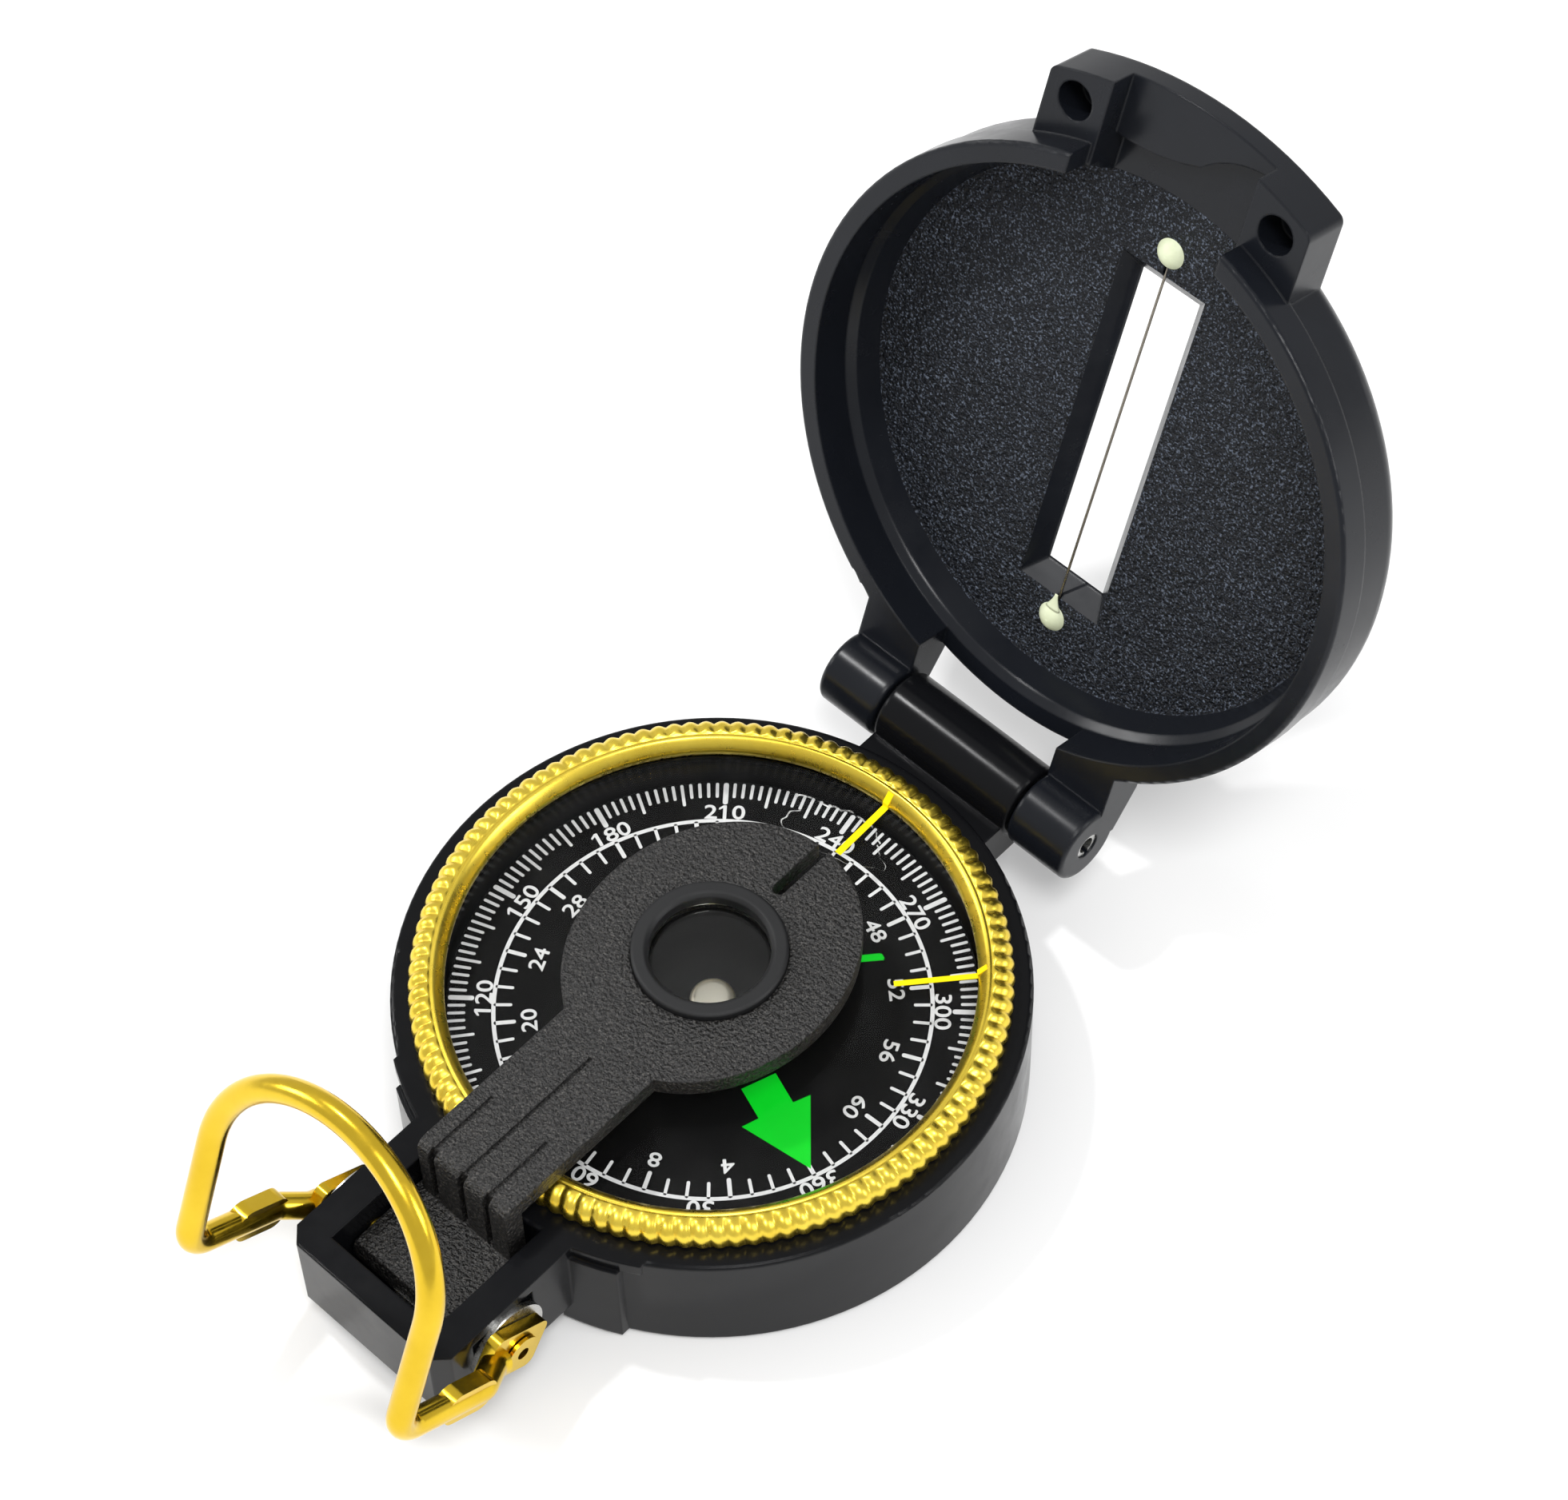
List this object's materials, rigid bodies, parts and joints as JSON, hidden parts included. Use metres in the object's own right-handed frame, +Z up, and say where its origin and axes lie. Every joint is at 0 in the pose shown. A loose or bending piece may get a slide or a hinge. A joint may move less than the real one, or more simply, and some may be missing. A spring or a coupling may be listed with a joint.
{
  "type": "sighting compass",
  "caption": "Folding sighting compass with a slotted lid and wire, a swing-up magnifying eyepiece, a turning gold bezel, a liquid-damped card and a wire thumb loop.",
  "frame": {"origin": "centre of the round base's underside, on the card's axis", "axes": "+Z up through the card, +Y from the eyepiece's box towards the lid hinge, +X along the lid hinge"},
  "size_m": [0.057, 0.1102, 0.0731],
  "materials": {
    "case_plastic": "satin",
    "lid_plastic": "satin",
    "eyepiece_plastic": "spark eroded",
    "collar_plastic": "satin",
    "cup_plastic": "satin",
    "card_plastic": "printed",
    "gold_anodised": "polished",
    "gold_wire": "polished",
    "spring_steel": "satin",
    "bright_steel": "polished",
    "wire_steel": "satin",
    "magnet_steel": "satin",
    "pivot_brass": "polished",
    "clear_plastic": "polished",
    "clear_lens": "polished",
    "clear_liquid": "clear",
    "yellow_line": "satin",
    "glow_compound": "waxy",
    "gasket_rubber": "matte"
  },
  "bodies": {
    "case": {"base_case": "case_plastic", "lid_hinge_pin": "spring_steel", "bezel_retaining_spring": "spring_steel", "capsule_cup": "cup_plastic", "capsule_gasket": "gasket_rubber", "capsule_window": "clear_plastic", "capsule_fill_plug": "gasket_rubber", "damping_liquid": "clear_liquid", "pivot_needle": "bright_steel", "pivot_post": "pivot_brass", "eyepiece_leaf_spring": "spring_steel", "pivot_rivets": "gold_wire", "loop_washers": "bright_steel"},
    "lid": {"lid_cover": "lid_plastic", "sight_wire": "wire_steel", "wire_glue_dots": "glow_compound"},
    "bezel": {"bezel_ring": "gold_anodised", "bezel_window": "clear_plastic", "bearing_lines": "yellow_line"},
    "card": {"compass_card": "card_plastic", "card_magnets": "magnet_steel", "jewel_cap": "pivot_brass"},
    "eyepiece": {"eyepiece_bracket": "eyepiece_plastic", "magnifier_lens": "clear_lens", "lens_collar": "collar_plastic"},
    "loop": {"thumb_loop": "gold_wire"}
  },
  "joints": [
    {"name": "lid_hinge", "type": "hinge", "parent": "case", "child": "lid", "pos_m": [0, 0.03192, 0.01231], "axis": [-1, 0, 0], "range_deg": [-109.2, 70]},
    {"name": "eyepiece_hinge", "type": "hinge", "parent": "case", "child": "eyepiece", "pos_m": [0, -0.034, 0.0082], "axis": [1, 0, 0], "range_deg": [0, 75]},
    {"name": "thumb_loop_swing", "type": "hinge", "parent": "case", "child": "loop", "pos_m": [0, -0.034, 0.0082], "axis": [1, 0, 0], "range_deg": [-50, 150]},
    {"name": "bezel_turn", "type": "hinge", "parent": "case", "child": "bezel", "pos_m": [0, 0, 0.0145], "axis": [0, 0, 1], "continuous": true},
    {"name": "card_turn", "type": "hinge", "parent": "case", "child": "card", "pos_m": [0, 0, 0.0089], "axis": [0, 0, 1], "continuous": true}
  ]
}
